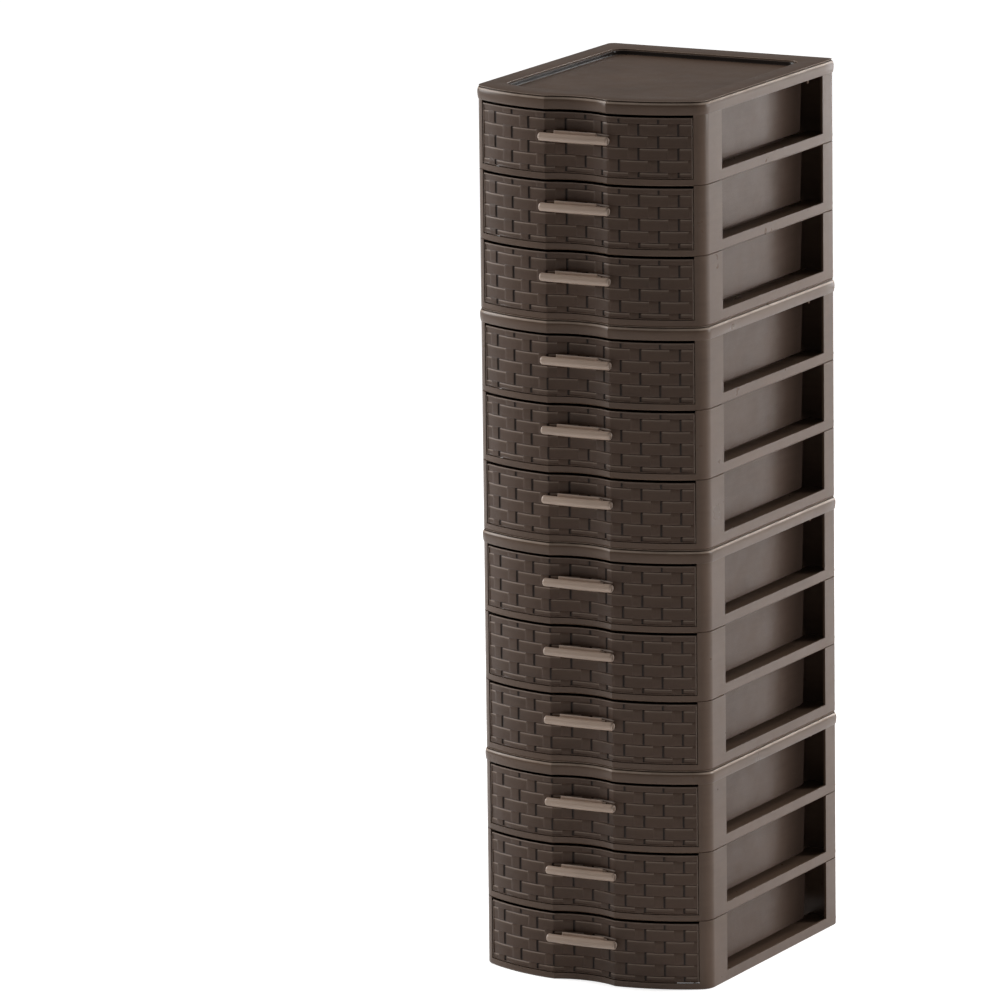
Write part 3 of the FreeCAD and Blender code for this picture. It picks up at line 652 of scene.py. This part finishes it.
def bin_wall_plan(half, back, corner):
    """The bin's open plan, from its right front end round the back to the left one."""
    right = [(half, front_y(half, PLATE_BACK - WALL_OVERLAP))]
    right += [(half, y) for y in BIN_STATIONS]
    right += arc_points((half - corner, back - corner), corner, 0, math.pi / 2,
                        BIN_CORNER_STEPS)
    return right + [(-x, y) for x, y in reversed(right)]


def bin_wall(parts):
    """The bin's wall, drafted outwards to the top, as one closed band."""
    low_half = BIN_TOP_HALF - BIN_DRAFT
    height = PLATE_HIGH - BIN_LOW
    rings = []
    for z, shrink in ((BIN_LOW, 0.0), (PLATE_HIGH, 0.0), (PLATE_HIGH, BIN_WALL),
                      (BIN_LOW, BIN_WALL)):
        half = low_half + BIN_DRAFT * (z - BIN_LOW) / height - shrink
        rings.append(at_height(bin_wall_plan(half, BIN_BACK - shrink, BIN_CORNER - shrink), z))
    count = len(rings[0])
    faces = []
    for k in range(4):
        low, high = k * count, (k + 1) % 4 * count
        for i in range(count - 1):
            faces.append((low + i, low + i + 1, high + i + 1, high + i))
    faces.append((0, count, 2 * count, 3 * count))
    faces.append(tuple(k * count + count - 1 for k in (3, 2, 1, 0)))
    parts.add([point for ring in rings for point in ring], faces)


def make_bin(parts):
    """Wall, floor, and on each side a skid below and a lug above."""
    bin_wall(parts)
    half = BIN_TOP_HALF - BIN_DRAFT - BIN_WALL / 2
    plan = bin_wall_plan(half, BIN_BACK - BIN_WALL / 2, BIN_CORNER - BIN_WALL / 2)
    steps = [half * (i / FLOOR_STEPS - 1) for i in range(1, 2 * FLOOR_STEPS)]
    parts.prism(plan + [(x, front_y(x, PLATE_BACK - FLOOR_OVERLAP)) for x in steps],
                BIN_LOW, BIN_LOW + BIN_FLOOR)
    for side in (-1, 1):
        skid = sorted(side * x for x in SKID)
        parts.block(*skid, front_y(SKID[0], PLATE_BACK) + CLEARANCE, BIN_BACK - BIN_CORNER,
                    RUNNER_TOP + SKID_GAP, BIN_LOW + SKID_OVERLAP)
        lug = sorted((side * (BIN_TOP_HALF - BIN_WALL), side * BIN_TOP_HALF))
        parts.block(*lug, *LUG_Y, *LUG_Z)


def make_drawer():
    """The bin and the plate, as two meshes."""
    shell = Parts()
    make_bin(shell)
    body = finished(write_mesh("bin_shell", shell.points, shell.faces), bevel=0.5)
    plate = Parts()
    marks, tones = make_plate(plate)
    front = write_mesh("plate_shell", plate.points, plate.faces)
    set_points(front, "strip", marks)
    set_points(front, "tone", tones)
    front = finished(front, sharp=60.0)
    return body, front


# Handle: bowed round bar on a web with a lip, and two pegs.
BAR_HALF = 41.5
BAR_RADIUS = 4.6
BAR_Y = FRONT_Y - 9.5 + BAR_RADIUS
BAR_Z = 47.5
BAR_BOW = 1.8
BAR_STEPS = 28
BAR_SIDES = 24
# Distances inwards from just inside the bar's ends, and the radii there.
BAR_END = 0.35
BAR_ENDS = ((0.0, 2.6), (0.0, 3.0), (-0.35, 3.2), (-0.35, 3.6), (0.0, 3.8), (0.25, 4.15),
            (0.8, 4.45), (1.6, 4.6))
BAR_FULL = BAR_HALF - 2.4
WEB_HALF = 26.5
WEB_LOW = 48.5
WEB_HIGH = 51.1
WEB_STEPS = 10
WEB_LIP_HALF = 24.6
WEB_LIP_RADIUS = 1.0
WEB_LIP_Y = BAR_Y + BAR_RADIUS + 1.2
WEB_LIP_HIGH = 54.4
WEB_LIP_OVERLAP = 0.5
WEB_LIP_STEPS = 6
PEG_X = 17.0
PEG_HALF = 4.0
PEG_BACK = -155.0


def bar_ring(x, radius):
    """Ring of points round the bar at this x."""
    centre_y = BAR_Y + BAR_BOW * (x / BAR_HALF) ** 2
    ring = []
    for i in range(BAR_SIDES):
        angle = 2 * math.pi * i / BAR_SIDES
        ring.append((x, centre_y + radius * math.cos(angle), BAR_Z + radius * math.sin(angle)))
    return ring


def make_handle():
    parts = Parts()
    rings = [bar_ring(-BAR_HALF + BAR_END + step, radius) for step, radius in BAR_ENDS]
    for i in range(BAR_STEPS + 1):
        rings.append(bar_ring(BAR_FULL * (2 * i / BAR_STEPS - 1), BAR_RADIUS))
    rings += [bar_ring(BAR_HALF - BAR_END - step, radius) for step, radius in reversed(BAR_ENDS)]
    parts.rings(rings)
    steps = [WEB_HALF * (1 - i / WEB_STEPS) for i in range(2 * WEB_STEPS + 1)]
    web = [(-WEB_HALF, BAR_Y + BAR_RADIUS / 2), (WEB_HALF, BAR_Y + BAR_RADIUS / 2)]
    web += [(x, front_y(x, FACE_INSET)) for x in steps]
    parts.prism(web, WEB_LOW, WEB_HIGH)
    quarter = math.pi / 2
    lip = arc_points((WEB_LIP_HALF, WEB_LIP_Y), WEB_LIP_RADIUS, -quarter, quarter, WEB_LIP_STEPS)
    lip += arc_points((-WEB_LIP_HALF, WEB_LIP_Y), WEB_LIP_RADIUS, quarter, 3 * quarter,
                      WEB_LIP_STEPS)
    parts.prism(lip, WEB_LOW + WEB_LIP_OVERLAP, WEB_LIP_HIGH)
    for x in (-PEG_X, PEG_X):
        parts.block(x - PEG_HALF, x + PEG_HALF, CREASE_Y, PEG_BACK, WEB_LOW, WEB_HIGH)
    return finished(write_mesh("handle_shell", parts.points, parts.faces), bevel=0.45, sharp=40)


# Materials. Colours are linear red, green and blue.
CASING_COLOUR = (0.118, 0.075, 0.052)
# Edge colours of each part: partly wear, partly a painted highlight.
CASING_WEAR_AND_HIGHLIGHT = (0.5, 0.39, 0.31)
DRAWER_COLOUR = (0.09, 0.057, 0.041)
DRAWER_WEAR_AND_HIGHLIGHT = (0.2, 0.145, 0.11)
DRAWER_SPECULAR = 0.14
HANDLE_COLOUR = (0.49, 0.365, 0.285)
HANDLE_WEAR_AND_HIGHLIGHT = (0.75, 0.62, 0.53)
# Painted highlight, for a tone above 0.
HIGHLIGHT_COLOUR = (0.34, 0.26, 0.21)
# Painted shade, for a tone below 0 and toward the drawer's rear.
SHADE_COLOUR = (0.01, 0.007, 0.006)
# Painted shade toward the drawer's rear: where it starts and ends, and its strongest share.
REAR_SHADE_START = 20.0
REAR_SHADE_END = 125.0
REAR_SHADE_SHARE = 0.8
CLOUD_SCALE = 9.0
PATCH_SCALE = 35.0
FLOW_SCALE = 4.0
FLOW_STRETCH = (6, 6, 40)
MIDDLE = (0.3, 0.7)
GRAIN_SCALE = 1400.0
SLAT_GRAIN = (60, 60, 1600)
STRIP_GRAIN = (1600, 300, 60)
PIECE_SHIFT = 3.0


class Graph:
    """Short names for building a material's nodes."""

    def __init__(self, name):
        self.material = bpy.data.materials.new(name)
        self.material.use_nodes = True
        self.nodes = self.material.node_tree.nodes
        self.links = self.material.node_tree.links
        self.shader = self.nodes["Principled BSDF"]

    def node(self, kind, inputs=None, **settings):
        made = self.nodes.new(kind)
        for key, value in settings.items():
            setattr(made, key, value)
        for key, value in (inputs or {}).items():
            if isinstance(value, bpy.types.NodeSocket):
                self.links.new(value, made.inputs[key])
            else:
                made.inputs[key].default_value = value
        return made

    def noise(self, vector, scale, detail=2.0, roughness=0.5):
        inputs = {"Vector": vector, "Scale": scale, "Detail": detail, "Roughness": roughness}
        return self.node("ShaderNodeTexNoise", inputs).outputs["Fac"]

    def ramp(self, value, low, high, to_low, to_high):
        inputs = {"Value": value, "From Min": low, "From Max": high,
                  "To Min": to_low, "To Max": to_high}
        return self.node("ShaderNodeMapRange", inputs).outputs["Result"]

    def mix(self, factor, first, second):
        made = self.node("ShaderNodeMix", data_type="RGBA")
        sockets = (made.inputs[0], made.inputs[6], made.inputs[7])
        for socket, value in zip(sockets, (factor, first, second)):
            if isinstance(value, bpy.types.NodeSocket):
                self.links.new(value, socket)
            else:
                socket.default_value = value
        return made.outputs[2]

    def place(self):
        """Object coordinates, moved by a different amount on each piece."""
        coordinates = self.node("ShaderNodeTexCoord").outputs["Object"]
        chance = self.node("ShaderNodeObjectInfo").outputs["Random"]
        shift = self.node("ShaderNodeMath", {0: chance, 1: PIECE_SHIFT},
                          operation="MULTIPLY")
        moved = self.node("ShaderNodeVectorMath", {0: coordinates, 1: shift.outputs[0]},
                          operation="ADD")
        return moved.outputs[0]

    def stretched(self, vector, scale):
        return self.node("ShaderNodeMapping", {"Vector": vector, "Scale": scale}).outputs[0]


def rgba(colour, factor=1.0):
    return (colour[0] * factor, colour[1] * factor, colour[2] * factor, 1)


def moulded(name, colour, lightened, roughness, specular):
    """Moulded plastic with a cloudy tint, flow marks, patchy sheen and edges of wear and painted
    highlight.
    """
    graph = Graph(name)
    place = graph.place()
    cloud = graph.noise(place, CLOUD_SCALE, 3.0, 0.6)
    tint = graph.mix(graph.ramp(cloud, *MIDDLE, 0, 1), rgba(colour, 0.88), rgba(colour, 1.12))
    patches = graph.noise(place, PATCH_SCALE, 3.0, 0.65)
    flow = graph.noise(graph.stretched(place, FLOW_STRETCH), FLOW_SCALE)
    tint = graph.mix(graph.ramp(flow, 0.35, 0.65, 0, 0.35), tint, rgba(colour, 1.2))
    edge = graph.node("ShaderNodeAttribute", attribute_name="edge").outputs["Fac"]
    # Rounded edges painted lighter: partly wear, partly a painted highlight.
    rub_and_highlight = graph.ramp(patches, *MIDDLE, 0.5, 0.95)
    rub_and_highlight = graph.node("ShaderNodeMath", {0: edge, 1: rub_and_highlight}, operation="MULTIPLY").outputs[0]
    tint = graph.mix(rub_and_highlight, tint, rgba(lightened))
    graph.links.new(tint, graph.shader.inputs["Base Color"])
    finish = graph.ramp(patches, *MIDDLE, roughness - 0.05, roughness + 0.07)
    graph.links.new(finish, graph.shader.inputs["Roughness"])
    graph.shader.inputs["Specular IOR Level"].default_value = specular
    return graph, place


def add_grain(graph, height, strength, distance):
    """Adds the grain's bump and returns the finished material."""
    bump = graph.node("ShaderNodeBump",
                      {"Height": height, "Strength": strength, "Distance": distance})
    graph.links.new(bump.outputs[0], graph.shader.inputs["Normal"])
    return graph.material


def add_tone(graph):
    """Paints a highlight on the points with a tone above 0 and shade on those below."""
    tone = graph.node("ShaderNodeAttribute", attribute_name="tone").outputs["Fac"]
    base = graph.shader.inputs["Base Color"].links[0].from_socket
    lightened = graph.mix(graph.ramp(tone, 0, 1, 0, 0.85), base, rgba(HIGHLIGHT_COLOUR))
    shaded = graph.mix(graph.ramp(tone, 0, -1, 0, 0.9), lightened, rgba(SHADE_COLOUR))
    graph.links.new(shaded, graph.shader.inputs["Base Color"])


def add_rear_shade(graph):
    """Painted shade: darkens and dulls the drawer toward its rear, where the casing shades it."""
    coordinates = graph.node("ShaderNodeTexCoord").outputs["Object"]
    depth = graph.node("ShaderNodeSeparateXYZ", {"Vector": coordinates}).outputs["Y"]
    limits = {"Value": depth, "From Min": REAR_SHADE_START * MM, "From Max": REAR_SHADE_END * MM,
              "To Min": 0.0, "To Max": REAR_SHADE_SHARE}
    shade_mask = graph.node("ShaderNodeMapRange", limits, interpolation_type="SMOOTHSTEP")
    shade_mask = shade_mask.outputs["Result"]
    base = graph.shader.inputs["Base Color"].links[0].from_socket
    graph.links.new(graph.mix(shade_mask, base, rgba(SHADE_COLOUR)), graph.shader.inputs["Base Color"])
    sheen = graph.ramp(shade_mask, 0.0, REAR_SHADE_SHARE, DRAWER_SPECULAR, 0.0)
    graph.links.new(sheen, graph.shader.inputs["Specular IOR Level"])
    rough = graph.shader.inputs["Roughness"].links[0].from_socket
    dull = graph.node("ShaderNodeMath", {0: rough, 1: shade_mask}, operation="ADD")
    graph.links.new(dull.outputs[0], graph.shader.inputs["Roughness"])


def casing_plastic():
    graph, place = moulded("casing_plastic", CASING_COLOUR, CASING_WEAR_AND_HIGHLIGHT,
                           roughness=0.32, specular=0.2)
    # Painted shade in the tray's recess, from the panel's tone.
    add_tone(graph)
    return add_grain(graph, graph.noise(place, GRAIN_SCALE), strength=0.12, distance=0.0002)


def drawer_plastic():
    """As the casing, with the grain running along the slats and up the strips."""
    graph, place = moulded("drawer_plastic", DRAWER_COLOUR, DRAWER_WEAR_AND_HIGHLIGHT,
                           roughness=0.4, specular=DRAWER_SPECULAR)
    level = graph.noise(graph.stretched(place, SLAT_GRAIN), 1.0)
    upright = graph.noise(graph.stretched(place, STRIP_GRAIN), 1.0)
    strip = graph.node("ShaderNodeAttribute", attribute_name="strip").outputs["Fac"]
    # Painted highlight and shade from the weave's tone.
    add_tone(graph)
    # Painted shade toward the drawer's rear.
    add_rear_shade(graph)
    grain = graph.mix(strip, level, upright)
    return add_grain(graph, grain, strength=0.35, distance=0.0003)


def handle_plastic():
    graph, place = moulded("handle_plastic", HANDLE_COLOUR, HANDLE_WEAR_AND_HIGHLIGHT,
                           roughness=0.34, specular=0.5)
    return add_grain(graph, graph.noise(place, GRAIN_SCALE), strength=0.1, distance=0.0002)


# Camera: the viewing angle of the photograph, far away with a long lens. Lengths from here
# on are in metres.
CAMERA_AZIMUTH = math.radians(28.011)
CAMERA_ELEVATION = math.radians(11.846)
CAMERA_ROLL = math.radians(-0.689)
CAMERA_SHIFT_RIGHT = -0.165865
CAMERA_SHIFT_UP = 0.01628
CAMERA_DISTANCE = 9.869703
CAMERA_TARGET = Vector((0, 0, 0.489))
CAMERA_LENS = 324
SENSOR_WIDTH = 36
CAMERA_REACH = 60

LIGHT_DISTANCE = 3.0
FLOOR_HALF = 30
FLOOR_GLOW = 0.76
WORLD_FILL = 0.16


def direction(azimuth, elevation):
    """Unit vector towards a compass angle, 0 in front of the drawers and 90 at their right."""
    return Vector((math.sin(azimuth) * math.cos(elevation),
                   -math.cos(azimuth) * math.cos(elevation), math.sin(elevation)))


def make_camera():
    data = bpy.data.cameras.new("camera")
    data.lens = CAMERA_LENS
    data.sensor_width = SENSOR_WIDTH
    data.clip_end = CAMERA_REACH
    camera = bpy.data.objects.new("camera", data)
    scene.collection.objects.link(camera)
    back = direction(CAMERA_AZIMUTH, CAMERA_ELEVATION)
    level_right = Vector((math.cos(CAMERA_AZIMUTH), math.sin(CAMERA_AZIMUTH), 0))
    level_up = back.cross(level_right)
    right = math.cos(CAMERA_ROLL) * level_right + math.sin(CAMERA_ROLL) * level_up
    up = math.cos(CAMERA_ROLL) * level_up - math.sin(CAMERA_ROLL) * level_right
    place = CAMERA_TARGET + right * CAMERA_SHIFT_RIGHT + up * CAMERA_SHIFT_UP
    place += back * CAMERA_DISTANCE
    camera.matrix_world = Matrix((
        (right.x, up.x, back.x, place.x),
        (right.y, up.y, back.y, place.y),
        (right.z, up.z, back.z, place.z),
        (0, 0, 0, 1),
    ))
    scene.camera = camera


def softbox(name, azimuth, elevation, width, height, power):
    """A rectangular light that faces the middle of the tower."""
    data = bpy.data.lights.new(name, "AREA")
    data.shape = "RECTANGLE"
    data.size = width
    data.size_y = height
    data.energy = power
    lamp = bpy.data.objects.new(name, data)
    scene.collection.objects.link(lamp)
    away = direction(math.radians(azimuth), math.radians(elevation))
    lamp.location = CAMERA_TARGET + away * LIGHT_DISTANCE
    lamp.rotation_euler = away.to_track_quat("Z", "Y").to_euler()


def sun(name, azimuth, elevation, strength, spread):
    """A light from far away, spread over an angle in degrees."""
    data = bpy.data.lights.new(name, "SUN")
    data.energy = strength
    data.angle = math.radians(spread)
    lamp = bpy.data.objects.new(name, data)
    scene.collection.objects.link(lamp)
    away = direction(math.radians(azimuth), math.radians(elevation))
    lamp.rotation_euler = away.to_track_quat("Z", "Y").to_euler()


def white_for_camera(nodes, links):
    """1 for rays from the camera, reflections and see-through, 0 for the rest."""
    path = nodes.new("ShaderNodeLightPath")
    total = path.outputs["Is Camera Ray"]
    for output in ("Is Glossy Ray", "Is Transmission Ray"):
        made = nodes.new("ShaderNodeMath")
        made.operation = "MAXIMUM"
        links.new(total, made.inputs[0])
        links.new(path.outputs[output], made.inputs[1])
        total = made.outputs[0]
    return total


def make_stage():
    """A plain pale floor that keeps the object's shadow."""
    mesh = bpy.data.meshes.new("floor")
    corners = [(x * FLOOR_HALF, y * FLOOR_HALF, 0) for x, y in ((-1, -1), (1, -1), (1, 1), (-1, 1))]
    mesh.from_pydata(corners, [], [(0, 1, 2, 3)])
    floor = bpy.data.objects.new("floor", mesh)
    scene.collection.objects.link(floor)
    graph = Graph("floor_paper")
    graph.shader.inputs["Base Color"].default_value = (0.85, 0.85, 0.85, 1)
    graph.shader.inputs["Roughness"].default_value = 0.9
    graph.shader.inputs["Specular IOR Level"].default_value = 0.1
    graph.shader.inputs["Emission Color"].default_value = (1, 1, 1, 1)
    glow = graph.node("ShaderNodeMath",
                      {0: white_for_camera(graph.nodes, graph.links), 1: FLOOR_GLOW},
                      operation="MULTIPLY")
    graph.links.new(glow.outputs[0], graph.shader.inputs["Emission Strength"])
    mesh.materials.append(graph.material)


def make_world():
    world = bpy.data.worlds.new("world")
    scene.world = world
    world.use_nodes = True
    background = world.node_tree.nodes["Background"]
    background.inputs["Color"].default_value = (1, 1, 1, 1)
    background.inputs["Strength"].default_value = WORLD_FILL


make_camera()
softbox("left_box", azimuth=-82, elevation=25, width=0.9, height=1.9, power=58)
softbox("right_box", azimuth=124, elevation=13, width=0.9, height=1.5, power=40)
softbox("rear_box", azimuth=166, elevation=12, width=0.6, height=1.8, power=30)
sun("sky", azimuth=160, elevation=60, strength=0.8, spread=50)
make_stage()
make_world()

MATERIALS = {"casing": casing_plastic(), "drawer": drawer_plastic(), "handle": handle_plastic()}
BODY_OF = {}
for body, nodes in frame["record"]["behaviour"]["bodies"].items():
    for node in nodes:
        BODY_OF[node] = body


def stand(name, mesh, node, slot, lift):
    """Stands a finished mesh where the node is, on the node's body."""
    piece = bpy.data.objects.new(name, mesh)
    piece.location.z = lift * MM
    scene.collection.objects.link(piece)
    if not mesh.materials:
        mesh.materials.append(MATERIALS[slot])
    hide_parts(node)
    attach(piece, BODY_OF[node])


panel_mesh = make_panel()
frame_mesh = make_frame()
bin_mesh, plate_mesh = make_drawer()
handle_mesh = make_handle()
for unit in range(UNITS):
    base = unit * UNIT_HEIGHT
    prefix = f"unit_{unit + 1}"
    panel = f"{prefix}_top_panel"
    stand(f"{panel}_shell", panel_mesh, panel, "casing", base + 3 * LEVEL_PITCH)
    for level, level_name in enumerate(LEVELS):
        lift = base + level * LEVEL_PITCH
        place = f"{prefix}_{level_name}"
        stand(f"{place}_frame_shell", frame_mesh, f"{place}_frame", "casing", lift)
        stand(f"{place}_drawer_bin", bin_mesh, f"{place}_drawer", "drawer", lift)
        stand(f"{place}_drawer_front", plate_mesh, f"{place}_drawer", "drawer", lift)
        stand(f"{place}_handle_shell", handle_mesh, f"{place}_handle", "handle", lift)
